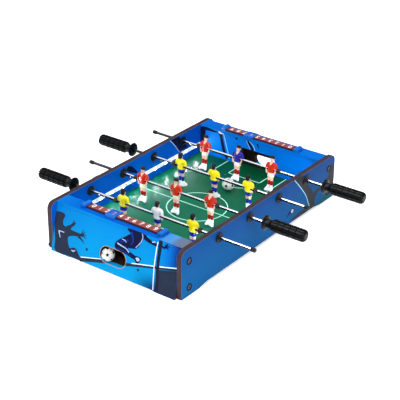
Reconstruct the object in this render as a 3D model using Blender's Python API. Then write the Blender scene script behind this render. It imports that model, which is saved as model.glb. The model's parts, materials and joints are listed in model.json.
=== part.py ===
"""Tabletop foosball table with four sliding, turning rods, score counters and LED light strips.

Axes: X runs along the table, Y along the rods (front is -Y), Z up.
The origin is at the bottom centre. Units are metres, so a size in millimetres is written as n * MM.
"""

import math

import bmesh
import bpy
from mathutils import Matrix, Vector

MM = 0.001
GAP = 0.3 * MM  # clearance between neighbouring pieces

# Cabinet
TABLE_LENGTH = 510 * MM
TABLE_WIDTH = 314.8 * MM
TABLE_HEIGHT = 95 * MM
SIDE_THICKNESS = 10.5 * MM
SIDE_CORNER_RADIUS = 14 * MM
SIDE_FOOT_X = 205 * MM
SIDE_RAMP_X = 180 * MM
SIDE_RELIEF = 4.5 * MM
INNER_Y = TABLE_WIDTH / 2 - SIDE_THICKNESS
GROOVE_DEPTH = 4 * MM

# Ends: a slanted outer panel, an upright goal wall and the rail across their tops
END_FOOT_X = 261.4 * MM
END_TOP_X = 238.5 * MM
END_THICKNESS = 10.3 * MM
END_RELIEF = 1.8 * MM
END_RELIEF_Y = 95 * MM
END_FOOT_Y = 103 * MM
WALL_X = 208 * MM
WALL_THICKNESS = 10 * MM
RAIL_THICKNESS = 5 * MM
GOAL_HALF_WIDTH = 42.5 * MM
GOAL_TOP = 71 * MM
GOAL_CORNER_RADIUS = 6 * MM

# Boards
FIELD_TOP = 30.3 * MM
FIELD_THICKNESS = 3.3 * MM
BASE_TOP = 17 * MM
BASE_THICKNESS = 3 * MM

# Ball return slot in each end panel
SLOT_WIDTH = 60 * MM
SLOT_HEIGHT = 30 * MM
SLOT_BOTTOM = BASE_TOP + GAP

# Rods
ROD_Z = 78.5 * MM
ROD_RADIUS = 3 * MM
BORE_RADIUS = ROD_RADIUS + GAP
ROD_PITCH = 96.6 * MM
PLAYER_PITCH = 82 * MM
ROD_CAP_END = 217 * MM
ROD_HANDLE_END = 250 * MM
HANDLE_START = 205.5 * MM
HANDLE_END = 294.5 * MM
CAP_START = 210.5 * MM
CAP_END = 220 * MM
BUMPER_CENTRE = 99.2 * MM
BUMPER_LENGTH = 7 * MM
BUSHING_RADIUS = 6.5 * MM
FLANGE_RADIUS = 10 * MM
OUTER_FLANGE = 3 * MM
INNER_FLANGE = 2.2 * MM
ROD_SEGMENTS = 12
HANDLE_SEGMENTS = 16

# The rods by number: distance along the table in rod pitches, handle side (-1 is the front),
# rest shift of the row of players, direction that they face, and their colours front to rear.
RODS = {
    1: (1.5, -1, 5.5 * MM, -1, ("red", "blue", "red")),
    2: (0.5, 1, -5.5 * MM, 1, ("yellow", "yellow", "yellow")),
    3: (-0.5, -1, 14 * MM, -1, ("red", "red", "red")),
    4: (-1.5, 1, -17 * MM, 1, ("yellow", "white", "yellow")),
}
REST_LEAN = {1: 6, 2: -4, 3: 0, 4: 0}  # degrees that each row hangs from upright, head towards +X
PLACES = (("front", -1), ("middle", 0), ("rear", 1))

# Score counters
CELL_PITCH = 16 * MM
STRIP_X = (211 * MM, 227 * MM)
STRIP_TOP = 99.7 * MM
STOP_Y = (84 * MM, 96 * MM)
STOP_X = (209 * MM, 230 * MM)
STOP_TOP = 103 * MM
SLIDER_LENGTH = 23 * MM
SLIDER_REST_CELLS = {"left": 3, "right": 6}
MIDDLE_CELL = 4.5  # the ten cells count from 0 to 9

# Balls
BALL_RADIUS = 12.5 * MM
FIELD_BALL_AT = (ROD_PITCH, -5.6 * MM)
SLOT_BALL_AT = (-248.5 * MM, 15.6 * MM)

# Lights
LED_HALF_LENGTH = 205 * MM
LED_DEPTH = 2.6 * MM
LED_BOTTOM = 47 * MM
LED_HEIGHT = 8 * MM
BATTERY_BOX_SIZE = (58 * MM, 40 * MM, 11.3 * MM)
BATTERY_BOX_AT = (0, 90 * MM)
SWITCH_TRAVEL = 5 * MM

COLOURS = {
    "print_blue": ((0.0, 0.23, 0.62), 0.35, 0.0),
    "rail_blue": ((0.0, 0.36, 0.80), 0.25, 0.0),
    "field_green": ((0.01, 0.22, 0.10), 0.4, 0.0),
    "hardboard": ((0.20, 0.12, 0.07), 0.8, 0.0),
    "chrome": ((0.75, 0.76, 0.78), 0.15, 1.0),
    "black_plastic": ((0.02, 0.02, 0.022), 0.45, 0.0),
    "black_rubber": ((0.015, 0.015, 0.016), 0.8, 0.0),
    "counter_red": ((0.35, 0.08, 0.07), 0.5, 0.0),
    "counter_blue": ((0.0, 0.09, 0.70), 0.35, 0.0),
    "led_white": ((0.9, 0.95, 1.0), 0.3, 0.0),
    "ball_white": ((0.9, 0.9, 0.9), 0.3, 0.0),
    "red": ((0.75, 0.04, 0.02), 0.4, 0.0),
    "yellow": ((0.95, 0.75, 0.02), 0.4, 0.0),
    "blue": ((0.03, 0.05, 0.45), 0.4, 0.0),
    "white": ((0.85, 0.85, 0.83), 0.4, 0.0),
}


# ---- helpers ---------------------------------------------------------------------------------


def clear_scene():
    for thing in list(bpy.data.objects):
        bpy.data.objects.remove(thing)


def material(name):
    """The named colour as a Principled material, made once."""
    found = bpy.data.materials.get(name)
    if found:
        return found
    colour, roughness, metallic = COLOURS[name]
    made = bpy.data.materials.new(name)
    made.use_nodes = True
    shader = made.node_tree.nodes["Principled BSDF"]
    shader.inputs["Base Color"].default_value = (*colour, 1)
    shader.inputs["Roughness"].default_value = roughness
    shader.inputs["Metallic"].default_value = metallic
    return made


def node(name, bm, colour, smooth=False, parent=None, at=(0, 0, 0)):
    """Turns a bmesh into a named object."""
    bmesh.ops.recalc_face_normals(bm, faces=bm.faces)
    mesh = bpy.data.meshes.new(name)
    bm.to_mesh(mesh)
    bm.free()
    if smooth:
        mesh.shade_smooth()
        mesh.set_sharp_from_angle(angle=math.radians(40))
    mesh.materials.append(material(colour))
    made = bpy.data.objects.new(name, mesh)
    bpy.context.scene.collection.objects.link(made)
    made.parent = parent
    made.location = at
    return made


def prism(outline, axis, start, end):
    """A flat outline extruded along X, Y or Z. Its two coordinates are the other two axes in order."""
    place = {
        "X": lambda u, v, w: (w, u, v),
        "Y": lambda u, v, w: (u, w, v),
        "Z": lambda u, v, w: (u, v, w),
    }[axis]
    bm = bmesh.new()
    face = bm.faces.new([bm.verts.new(place(u, v, start)) for u, v in outline])
    made = bmesh.ops.extrude_face_region(bm, geom=[face])
    top = [item for item in made["geom"] if isinstance(item, bmesh.types.BMVert)]
    bmesh.ops.translate(bm, vec=Vector(place(0, 0, end - start)), verts=top)
    return bm


def box_outline(low, high):
    return [(low[0], low[1]), (high[0], low[1]), (high[0], high[1]), (low[0], high[1])]


def arc(centre, radius, start, end, steps):
    """Points on an arc, with its angles in degrees."""
    points = []
    for step in range(steps + 1):
        angle = math.radians(start + (end - start) * step / steps)
        points.append((centre[0] + radius * math.cos(angle), centre[1] + radius * math.sin(angle)))
    return points


def turned(profile, segments=ROD_SEGMENTS, closed=False):
    """A profile of (distance along Y, radius) points turned about the Y axis."""
    bm = bmesh.new()
    points = [bm.verts.new((radius, along, 0)) for along, radius in profile]
    edges = [bm.edges.new(pair) for pair in zip(points, points[1:])]
    if closed:
        edges.append(bm.edges.new((points[-1], points[0])))
    bmesh.ops.spin(
        bm,
        geom=points + edges,
        cent=(0, 0, 0),
        axis=(0, 1, 0),
        angle=2 * math.pi,
        steps=segments,
        use_merge=True,
    )
    bmesh.ops.remove_doubles(bm, verts=bm.verts, dist=1e-6)
    return bm


def combine(target, other, operation):
    """Cuts the bmesh `other` out of the object, or joins it on."""
    mesh = bpy.data.meshes.new("cutter")
    bmesh.ops.recalc_face_normals(other, faces=other.faces)
    other.to_mesh(mesh)
    other.free()
    cutter = bpy.data.objects.new("cutter", mesh)
    bpy.context.scene.collection.objects.link(cutter)
    modifier = target.modifiers.new("combine", "BOOLEAN")
    modifier.operation = operation
    modifier.solver = "EXACT"
    modifier.object = cutter
    graph = bpy.context.evaluated_depsgraph_get()
    result = bpy.data.meshes.new_from_object(target.evaluated_get(graph))
    target.modifiers.remove(modifier)
    result.name = target.name
    target.data = result
    bpy.data.objects.remove(cutter)


def drill(radius, half_length):
    """A cylinder along Y about the origin, to cut a hole with."""
    return turned([(-half_length, 0), (-half_length, radius), (half_length, radius), (half_length, 0)])


# ---- cabinet ---------------------------------------------------------------------------------


def outer_x(z):
    """How far out the slanted end panel's outer face is at a height."""
    return END_FOOT_X - (END_FOOT_X - END_TOP_X) * z / TABLE_HEIGHT


def side_panel(name, side):
    """A long side board with feet, rounded top corners, two grooves and four holes for bushings."""
    half = TABLE_LENGTH / 2
    corner_x = half - SIDE_CORNER_RADIUS
    corner_z = TABLE_HEIGHT - SIDE_CORNER_RADIUS
    outline = [(-half, 0), (-SIDE_FOOT_X, 0), (-SIDE_RAMP_X, SIDE_RELIEF)]
    outline += [(SIDE_RAMP_X, SIDE_RELIEF), (SIDE_FOOT_X, 0), (half, 0)]
    outline += arc((corner_x, corner_z), SIDE_CORNER_RADIUS, 0, 90, 6)
    outline += arc((-corner_x, corner_z), SIDE_CORNER_RADIUS, 90, 180, 6)
    inner, outer = side * INNER_Y, side * TABLE_WIDTH / 2
    panel = node(name, prism(outline, "Y", inner, outer), "print_blue")
    grooves = (
        (WALL_X, FIELD_TOP - FIELD_THICKNESS - GAP, FIELD_TOP + GAP),
        (outer_x(BASE_TOP) - END_THICKNESS, BASE_TOP - BASE_THICKNESS - GAP, BASE_TOP + GAP),
    )
    for reach, low, high in grooves:
        groove = box_outline((-reach, low), (reach, high))
        combine(panel, prism(groove, "Y", inner - side * MM, inner + side * GROOVE_DEPTH), "DIFFERENCE")
    for pitches, _, _, _, _ in RODS.values():
        hole = drill(BUSHING_RADIUS + GAP, 2 * SIDE_THICKNESS)
        bmesh.ops.translate(hole, vec=(pitches * ROD_PITCH, (inner + outer) / 2, ROD_Z), verts=hole.verts)
        combine(panel, hole, "DIFFERENCE")


def end_panel(name, end):
    """The slanted outer board, relieved along its foot, with the ball return slot through it."""
    half = INNER_Y - GAP
    top = TABLE_HEIGHT - RAIL_THICKNESS - GAP
    outline = [(-half, 0), (-END_FOOT_Y, 0), (-END_RELIEF_Y, END_RELIEF), (END_RELIEF_Y, END_RELIEF)]
    outline += [(END_FOOT_Y, 0), (half, 0), (half, top), (-half, top)]
    bm = prism(outline, "X", 0, -END_THICKNESS)
    for vertex in bm.verts:
        vertex.co.x = end * (vertex.co.x + outer_x(vertex.co.z))
    panel = node(name, bm, "print_blue")
    radius = SLOT_HEIGHT / 2
    centre_z = SLOT_BOTTOM + radius
    straight = SLOT_WIDTH / 2 - radius
    slot = arc((straight, centre_z), radius, -90, 90, 12) + arc((-straight, centre_z), radius, 90, 270, 12)
    combine(panel, prism(slot, "X", end * WALL_X, end * (END_FOOT_X + MM)), "DIFFERENCE")


def goal_wall(name, end):
    """The upright inner board with the goal cut out of its lower middle."""
    half = INNER_Y - GAP
    bottom = BASE_TOP + GAP
    top = TABLE_HEIGHT - RAIL_THICKNESS - GAP
    goal_bottom = FIELD_TOP - FIELD_THICKNESS - GAP
    outline = box_outline((-half, bottom), (half, top))
    wall = node(name, prism(outline, "X", end * WALL_X, end * (WALL_X + WALL_THICKNESS)), "print_blue")
    corner_y = GOAL_HALF_WIDTH - GOAL_CORNER_RADIUS
    corner_z = GOAL_TOP - GOAL_CORNER_RADIUS
    opening = [(-GOAL_HALF_WIDTH, goal_bottom), (GOAL_HALF_WIDTH, goal_bottom)]
    opening += arc((corner_y, corner_z), GOAL_CORNER_RADIUS, 0, 90, 4)
    opening += arc((-corner_y, corner_z), GOAL_CORNER_RADIUS, 90, 180, 4)
    through = prism(opening, "X", end * (WALL_X - MM), end * (WALL_X + WALL_THICKNESS + MM))
    combine(wall, through, "DIFFERENCE")


def top_rail(name, end):
    """The flat board that closes the top of an end between the side panels."""
    low, high = TABLE_HEIGHT - RAIL_THICKNESS, TABLE_HEIGHT
    outline = [(WALL_X, low), (outer_x(low), low), (outer_x(high), high), (WALL_X, high)]
    outline = [(end * x, z) for x, z in outline]
    half = INNER_Y - GAP
    node(name, prism(outline, "Y", -half, half), "rail_blue")


def playing_field():
    """The field board, with a tongue through each goal."""
    reach_x = WALL_X - GAP
    reach_y = INNER_Y + GROOVE_DEPTH - GAP
    tongue_x = WALL_X + WALL_THICKNESS
    tongue_y = GOAL_HALF_WIDTH - GAP
    quarter = [(reach_x, reach_y), (reach_x, tongue_y), (tongue_x, tongue_y)]
    outline = quarter + [(x, -y) for x, y in reversed(quarter)]
    outline += [(-x, -y) for x, y in quarter] + [(-x, y) for x, y in reversed(quarter)]
    node("playing_field", prism(outline, "Z", FIELD_TOP - FIELD_THICKNESS, FIELD_TOP), "field_green")


def base_board():
    """The bottom board, which is also the floor of both ball troughs."""
    reach_x = outer_x(BASE_TOP) - END_THICKNESS - GAP
    reach_y = INNER_Y + GROOVE_DEPTH - GAP
    outline = box_outline((-reach_x, -reach_y), (reach_x, reach_y))
    node("base_board", prism(outline, "Z", BASE_TOP - BASE_THICKNESS, BASE_TOP), "hardboard")


# ---- lights ----------------------------------------------------------------------------------


def led_strip(name, side):
    """A light strip along the inside of a side panel, with its outer edges chamfered."""
    back = side * (INNER_Y - GAP)
    front = side * (INNER_Y - GAP - LED_DEPTH)
    low, high = LED_BOTTOM, LED_BOTTOM + LED_HEIGHT
    chamfer = LED_DEPTH / 2
    outline = [(back, low), (back, high), (front + side * chamfer, high), (front, high - chamfer)]
    outline += [(front, low + chamfer), (front + side * chamfer, low)]
    node(name, prism(outline, "X", -LED_HALF_LENGTH, LED_HALF_LENGTH), "led_white")


def battery_box():
    """The battery box under the base board, and the slide switch in its lower face, in its on position."""
    length, width, height = BATTERY_BOX_SIZE
    x, y = BATTERY_BOX_AT
    top = BASE_TOP - BASE_THICKNESS - GAP
    bottom = top - height
    outline = box_outline((x - length / 2, y - width / 2), (x + length / 2, y + width / 2))
    box = node("battery_box", prism(outline, "Z", bottom, top), "black_plastic")
    knob_length, knob_width, depth = 4.5 * MM, 4 * MM, 3 * MM
    from_end = 10 * MM
    recess_x = x + length / 2 - from_end
    half_x = (knob_length + SWITCH_TRAVEL) / 2 + GAP
    half_y = knob_width / 2 + GAP
    recess = box_outline((recess_x - half_x, y - half_y), (recess_x + half_x, y + half_y))
    combine(box, prism(recess, "Z", bottom - MM, bottom + depth), "DIFFERENCE")
    knob_x = recess_x + SWITCH_TRAVEL / 2
    knob = box_outline((-knob_length / 2, -knob_width / 2), (knob_length / 2, knob_width / 2))
    stands_out = 1.4 * MM
    knob_bm = prism(knob, "Z", -stands_out, depth - GAP)
    node("light_switch", knob_bm, "black_plastic", at=(knob_x, y, bottom))


# ---- rods ------------------------------------------------------------------------------------


def bushing(name, x, side):
    """A flanged sleeve through the side panel. Distances are counted outwards from the inner face."""
    inside, outside = -GAP, SIDE_THICKNESS + GAP
    rounding = 1 * MM
    profile = [
        (inside - INNER_FLANGE, BORE_RADIUS),
        (inside - INNER_FLANGE, FLANGE_RADIUS),
        (inside, FLANGE_RADIUS),
        (inside, BUSHING_RADIUS),
        (outside, BUSHING_RADIUS),
        (outside, FLANGE_RADIUS),
        (outside + OUTER_FLANGE - rounding, FLANGE_RADIUS),
        (outside + OUTER_FLANGE, FLANGE_RADIUS - rounding),
        (outside + OUTER_FLANGE, BORE_RADIUS),
    ]
    profile = [(side * along, radius) for along, radius in profile]
    bm = turned(profile, closed=True)
    node(name, bm, "black_plastic", smooth=True, at=(x, side * INNER_Y, ROD_Z))


def rod(name, axis, handle_side):
    profile = [(-ROD_CAP_END, 0), (-ROD_CAP_END, ROD_RADIUS)]
    profile += [(ROD_HANDLE_END, ROD_RADIUS), (ROD_HANDLE_END, 0)]
    profile = [(handle_side * along, radius) for along, radius in profile]
    node(name, turned(profile), "chrome", smooth=True, parent=axis)


def handle(name, axis, handle_side):
    """A grip with a disc and a tapered neck at its inner end and a blind bore for the rod."""
    disc_radius, neck_radius, grip_radius = 14.5 * MM, 8.5 * MM, 12 * MM
    disc, neck = 4 * MM, 18 * MM
    start, end = HANDLE_START, HANDLE_END
    round_end = 6 * MM
    profile = [
        (ROD_HANDLE_END + 1 * MM, 0),
        (ROD_HANDLE_END + 1 * MM, BORE_RADIUS),
        (start, BORE_RADIUS),
        (start, disc_radius - 1 * MM),
        (start + disc / 2, disc_radius),
        (start + disc, disc_radius - 1 * MM),
        (start + disc, neck_radius),
        (start + neck - 2 * MM, neck_radius + 1 * MM),
        (start + neck, grip_radius),
    ]
    for along, radius in arc((end - round_end, grip_radius - round_end), round_end, 90, 0, 4):
        profile.append((along, radius))
    profile.append((end, 0))
    profile = [(handle_side * along, radius) for along, radius in profile]
    node(name, turned(profile, segments=HANDLE_SEGMENTS), "black_plastic", smooth=True, parent=axis)


def end_cap(name, axis, handle_side):
    """The rounded cap pressed on the rod's other end, with a blind bore."""
    radius, rounding = 4.2 * MM, 1.8 * MM
    bore_end = ROD_CAP_END + GAP
    profile = [(bore_end, 0), (bore_end, BORE_RADIUS), (CAP_START, BORE_RADIUS), (CAP_START, radius)]
    profile += arc((CAP_END - rounding, radius - rounding), rounding, 90, 0, 3)
    profile.append((CAP_END, 0))
    profile = [(-handle_side * along, radius) for along, radius in profile]
    node(name, turned(profile, segments=12), "black_rubber", smooth=True, parent=axis)


def bumper(name, axis, side):
    """A rubber ring on the rod beside the outermost player."""
    radius, chamfer = 5.6 * MM, 1 * MM
    half = BUMPER_LENGTH / 2
    profile = [(-half, BORE_RADIUS), (-half, radius - chamfer), (chamfer - half, radius)]
    profile += [(half - chamfer, radius), (half, radius - chamfer), (half, BORE_RADIUS)]
    bm = turned(profile, segments=12, closed=True)
    node(name, bm, "black_rubber", smooth=True, parent=axis, at=(0, side * BUMPER_CENTRE, 0))


# Player sections from the soles up: height above the rod, half depth, half width, shift forwards
PLAYER_SECTIONS = [
    (-45.7 * MM, 6.8 * MM, 7.6 * MM, 0.4 * MM),
    (-44.0 * MM, 7.8 * MM, 9.2 * MM, 0.8 * MM),
    (-38.5 * MM, 7.2 * MM, 8.8 * MM, 0.6 * MM),
    (-33.0 * MM, 4.2 * MM, 6.2 * MM, 0),
    (-22.0 * MM, 4.2 * MM, 6.2 * MM, 0),
    (-14.0 * MM, 4.8 * MM, 7.2 * MM, 0),
    (-8.0 * MM, 5.2 * MM, 8.6 * MM, 0),
    (1.0 * MM, 5.8 * MM, 13.0 * MM, 0),
    (6.0 * MM, 5.8 * MM, 13.2 * MM, 0),
    (12.5 * MM, 5.0 * MM, 10.0 * MM, 0),
    (15.6 * MM, 2.6 * MM, 3.6 * MM, 0),
    (18.0 * MM, 4.4 * MM, 4.2 * MM, 0),
    (23.5 * MM, 5.0 * MM, 4.8 * MM, 0),
    (27.8 * MM, 3.8 * MM, 3.6 * MM, 0),
    (29.3 * MM, 1.8 * MM, 1.8 * MM, 0),
]
PLAYER_SIDES = 10


def player(name, axis, y, facing, lean, colour):
    """A figure lofted through rounded sections, bored for the rod. Its origin is on the rod's axis."""
    bm = bmesh.new()
    rings = []
    for height, depth, width, forward in PLAYER_SECTIONS:
        ring = []
        for step in range(PLAYER_SIDES):
            angle = 2 * math.pi * (step + 0.5) / PLAYER_SIDES
            across, along = math.cos(angle), math.sin(angle)
            squared = 1 / (abs(across) ** 3 + abs(along) ** 3) ** (1 / 3)
            x = facing * (forward + depth * across * squared)
            ring.append(bm.verts.new((x, width * along * squared, height)))
        rings.append(ring)
    for low, high in zip(rings, rings[1:]):
        for step in range(PLAYER_SIDES):
            following = (step + 1) % PLAYER_SIDES
            bm.faces.new((low[step], low[following], high[following], high[step]))
    bm.faces.new(rings[0])
    bm.faces.new(rings[-1])
    bm.transform(Matrix.Rotation(math.radians(lean), 4, "Y"))
    made = node(name, bm, colour, smooth=True, parent=axis, at=(0, y, 0))
    bore = drill(BORE_RADIUS, PLAYER_PITCH / 2)
    bpy.context.view_layer.update()
    bore.transform(made.matrix_world)
    combine(made, bore, "DIFFERENCE")


def rod_set(number):
    """A rod with its handle, cap, bumpers and players, on one empty, and the bushings that carry it."""
    pitches, handle_side, shift, facing, colours = RODS[number]
    x = pitches * ROD_PITCH
    axis = bpy.data.objects.new(f"rod_{number}_axis", None)
    bpy.context.scene.collection.objects.link(axis)
    axis.location = (x, shift, ROD_Z)
    rod(f"rod_{number}", axis, handle_side)
    handle(f"handle_{number}", axis, handle_side)
    end_cap(f"end_cap_{number}", axis, handle_side)
    for (place, step), colour in zip(PLACES, colours):
        player(f"player_{number}_{place}", axis, step * PLAYER_PITCH, facing, REST_LEAN[number], colour)
    for place, side in (("front", -1), ("rear", 1)):
        bumper(f"bumper_{number}_{place}", axis, side)
        bushing(f"bushing_{number}_{place}", x, side)


# ---- score counters --------------------------------------------------------------------------


def score_rail(name, end):
    """The numbered strip with a rounded stop at each end of it."""
    bottom = TABLE_HEIGHT + GAP
    strip = box_outline((-STOP_Y[1], bottom), (STOP_Y[1], STRIP_TOP))
    rail = node(name, prism(strip, "X", end * STRIP_X[0], end * STRIP_X[1]), "counter_red")
    half = (STOP_Y[1] - STOP_Y[0]) / 2
    chamfer = half / 2
    for side in (-1, 1):
        centre = side * (STOP_Y[0] + STOP_Y[1]) / 2
        low_y, high_y = centre - half, centre + half
        shoulder = STOP_TOP - chamfer
        stop = [(low_y, bottom), (high_y, bottom), (high_y, shoulder)]
        stop += [(high_y - chamfer, STOP_TOP), (low_y + chamfer, STOP_TOP), (low_y, shoulder)]
        combine(rail, prism(stop, "X", end * STOP_X[0], end * STOP_X[1]), "UNION")


def score_slider(name, end):
    """A saddle over the strip, with a window for the number under it."""
    low, shoulder, top = TABLE_HEIGHT + 2 * GAP, 100.9 * MM, 102.6 * MM
    clear = 0.4 * MM
    inner, outer = STRIP_X
    foot, flank, chamfer = 5 * MM, 4 * MM, 2.2 * MM
    section = [
        (inner - foot, low),
        (inner - flank, shoulder),
        (inner - flank + chamfer, top),
        (outer + flank - chamfer, top),
        (outer + flank, shoulder),
        (outer + foot, low),
        (outer + clear, low),
        (outer + clear, STRIP_TOP + clear),
        (inner - clear, STRIP_TOP + clear),
        (inner - clear, low),
    ]
    section = [(end * x, z) for x, z in section]
    half = SLIDER_LENGTH / 2
    cell = SLIDER_REST_CELLS["left" if end < 0 else "right"]
    y = -end * (MIDDLE_CELL - cell) * CELL_PITCH
    slider = node(name, prism(section, "Y", -half, half), "counter_blue", at=(0, y, 0))
    border = 2.5 * MM
    window_x, window_y = (inner + border, outer - border), 4.5 * MM
    window = box_outline((end * window_x[0], y - window_y), (end * window_x[1], y + window_y))
    bpy.context.view_layer.update()
    combine(slider, prism(window, "Z", STRIP_TOP, top + MM), "DIFFERENCE")


# ---- balls -----------------------------------------------------------------------------------


def ball(name, at):
    bm = bmesh.new()
    bmesh.ops.create_icosphere(bm, subdivisions=3, radius=BALL_RADIUS)
    node(name, bm, "ball_white", smooth=True, at=at)


def build():
    clear_scene()
    side_panel("side_panel_front", -1)
    side_panel("side_panel_rear", 1)
    for place, end in (("left", -1), ("right", 1)):
        end_panel(f"end_panel_{place}", end)
        goal_wall(f"goal_wall_{place}", end)
        top_rail(f"top_rail_{place}", end)
        score_rail(f"score_rail_{place}", end)
        score_slider(f"score_slider_{place}", end)
    playing_field()
    base_board()
    led_strip("led_strip_front", -1)
    led_strip("led_strip_rear", 1)
    battery_box()
    for number in RODS:
        rod_set(number)
    ball("ball_field", (*FIELD_BALL_AT, FIELD_TOP + GAP + BALL_RADIUS))
    ball("ball_slot", (*SLOT_BALL_AT, SLOT_BOTTOM + GAP + BALL_RADIUS))


build()
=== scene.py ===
import json
import math

import bmesh
import bpy
from mathutils import Euler, Matrix, Vector


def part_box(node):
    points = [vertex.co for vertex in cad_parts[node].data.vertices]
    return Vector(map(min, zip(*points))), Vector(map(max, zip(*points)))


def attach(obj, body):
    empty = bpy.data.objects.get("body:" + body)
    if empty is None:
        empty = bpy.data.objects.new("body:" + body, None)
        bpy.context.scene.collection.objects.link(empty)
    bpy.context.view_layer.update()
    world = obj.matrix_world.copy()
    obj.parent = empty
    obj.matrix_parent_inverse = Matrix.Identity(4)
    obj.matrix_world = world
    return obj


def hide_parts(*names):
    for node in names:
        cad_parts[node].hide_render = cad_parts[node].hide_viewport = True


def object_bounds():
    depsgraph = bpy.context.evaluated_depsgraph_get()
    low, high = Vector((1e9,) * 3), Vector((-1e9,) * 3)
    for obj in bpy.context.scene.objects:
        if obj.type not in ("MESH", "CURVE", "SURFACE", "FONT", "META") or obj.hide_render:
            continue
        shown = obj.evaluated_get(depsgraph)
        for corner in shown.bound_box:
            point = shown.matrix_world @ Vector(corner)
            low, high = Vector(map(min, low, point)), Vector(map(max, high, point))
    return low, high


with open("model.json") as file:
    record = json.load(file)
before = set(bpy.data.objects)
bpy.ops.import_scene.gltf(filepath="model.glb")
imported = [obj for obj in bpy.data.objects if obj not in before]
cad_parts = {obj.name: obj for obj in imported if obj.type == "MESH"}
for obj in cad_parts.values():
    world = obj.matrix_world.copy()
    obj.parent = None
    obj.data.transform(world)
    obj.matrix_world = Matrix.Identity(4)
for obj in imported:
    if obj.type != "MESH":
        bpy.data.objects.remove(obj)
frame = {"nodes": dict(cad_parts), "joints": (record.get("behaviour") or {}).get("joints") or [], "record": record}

MM = 0.001
CAD_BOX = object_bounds()

ENDS = {"left": -1, "right": 1}
SIDES = {"front": -1, "rear": 1}
PLACES = ("front", "middle", "rear")
FACING = {1: -1, 2: 1, 3: -1, 4: 1}  # which way along X each rod's players look
HANDLE_SIDE = {1: -1, 2: 1, 3: -1, 4: 1}  # which side each rod's handle is on
REST_LEAN = {1: 6, 2: -4, 3: 0, 4: 0}  # degrees that each row hangs from upright, head towards +X

ROD_AT = {}  # rod number: rest place of its axis beside the middle player
for joint in frame["joints"]:
    if joint["name"].endswith("_spin"):
        ROD_AT[int(joint["name"].split("_")[1])] = Vector(joint["pos_m"])

SLOT_OF = {entry["node"]: entry["material_slot"] for entry in frame["record"]["subparts"]}


# ---- camera, lights and floor ----------------------------------------------------------------


def make_camera():
    """The camera on the near left corner's side, a little above the table."""
    azimuth, elevation, roll = math.radians(-53.41), math.radians(27.316), math.radians(0.399)
    place = Matrix.Translation((-1.6561, -1.2366, 1.1123))
    turn = Euler((math.pi / 2 - elevation, 0, azimuth)).to_matrix() @ Matrix.Rotation(roll, 3, "Z")
    data = bpy.data.cameras.new("camera")
    data.lens = 107.05
    data.sensor_width = 36
    camera = bpy.data.objects.new("camera", data)
    camera.matrix_world = place @ turn.to_4x4()
    bpy.context.scene.collection.objects.link(camera)
    bpy.context.scene.camera = camera


def make_light(name, place, size, power):
    """A round soft light aimed at the middle of the table."""
    data = bpy.data.lights.new(name, "AREA")
    data.shape = "DISK"
    data.size = size
    data.energy = power
    light = bpy.data.objects.new(name, data)
    light.location = place
    aim = Vector((0, 0, 50 * MM)) - Vector(place)
    light.rotation_euler = aim.to_track_quat("-Z", "Y").to_euler()
    bpy.context.scene.collection.objects.link(light)


def make_sky():
    """A bright soft ceiling over a dim horizon, so that steel shows a bright top and a dark flank."""
    world = bpy.data.worlds.new("studio")
    world.use_nodes = True
    where = add_node(world, "ShaderNodeTexCoord").outputs["Generated"]
    height = add_node(world, "ShaderNodeSeparateXYZ", {"Vector": where}).outputs["Z"]
    dim, bright = (0.1, 0.11, 0.12, 1), (0.9, 0.95, 1, 1)
    colour = ramp(world, height, [(0, dim), (0.52, dim), (0.68, bright), (1, bright)])
    background = world.node_tree.nodes["Background"]
    world.node_tree.links.new(colour, background.inputs["Color"])
    background.inputs["Strength"].default_value = 1.25
    bpy.context.scene.world = world


def make_studio():
    """A pale floor, the sky and three soft lights."""
    bpy.context.scene.view_settings.view_transform = "Standard"
    make_sky()
    make_light("key", (-1.5, 0.5, 1.7), 1.1, 24)
    make_light("fill", (-0.6, -1.8, 0.9), 1.0, 15)
    make_light("top", (0.2, 0.2, 1.8), 1.2, 13)
    cloth = rgb(252, 252, 252)
    plain("floor_white", cloth, 0.95, Specular_IOR_Level=0, Emission_Color=cloth, Emission_Strength=0.45)
    bm = bmesh.new()
    bmesh.ops.create_grid(bm, x_segments=1, y_segments=1, size=6)
    floor = link_mesh("floor", bm, "floor_white")
    floor.location.z = -0.2 * MM


# ---- materials -------------------------------------------------------------------------------

WHITE = (1, 1, 1, 1)
MATERIALS = {}  # every material by its name


def rgb(red, green, blue):
    """An 8-bit display colour as linear values."""

    def linear(value):
        value /= 255
        return value / 12.92 if value <= 0.04045 else ((value + 0.055) / 1.055) ** 2.4
    return (linear(red), linear(green), linear(blue), 1)


def plain(name, colour, roughness, **sockets):
    """A Principled material, with any other sockets given by name."""
    made = bpy.data.materials.new(name)
    made.use_nodes = True
    sockets.update(Base_Color=colour, Roughness=roughness)
    for socket, value in sockets.items():
        made.node_tree.nodes["Principled BSDF"].inputs[socket.replace("_", " ")].default_value = value
    MATERIALS[name] = made
    return made


def add_node(made, kind, inputs=None, **settings):
    """A shader node with its settings, and its inputs given as values or as sockets to link from."""
    item = made.node_tree.nodes.new(kind)
    for key, value in settings.items():
        setattr(item, key, value)
    for key, value in (inputs or {}).items():
        if isinstance(value, bpy.types.NodeSocket):
            made.node_tree.links.new(value, item.inputs[key])
        else:
            item.inputs[key].default_value = value
    return item


def feed(made, name, socket):
    """Links a socket to the shader's input of that name."""
    made.node_tree.links.new(socket, made.node_tree.nodes["Principled BSDF"].inputs[name])


def coordinate(made, axis):
    """One of the piece's own coordinates."""
    where = add_node(made, "ShaderNodeTexCoord").outputs["Object"]
    return add_node(made, "ShaderNodeSeparateXYZ", {"Vector": where}).outputs[axis]


def remap(made, value, low, high, **settings):
    """The value brought from low..high to 0..1."""
    inputs = {"Value": value, "From Min": low, "From Max": high}
    return add_node(made, "ShaderNodeMapRange", inputs, **settings).outputs["Result"]


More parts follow.
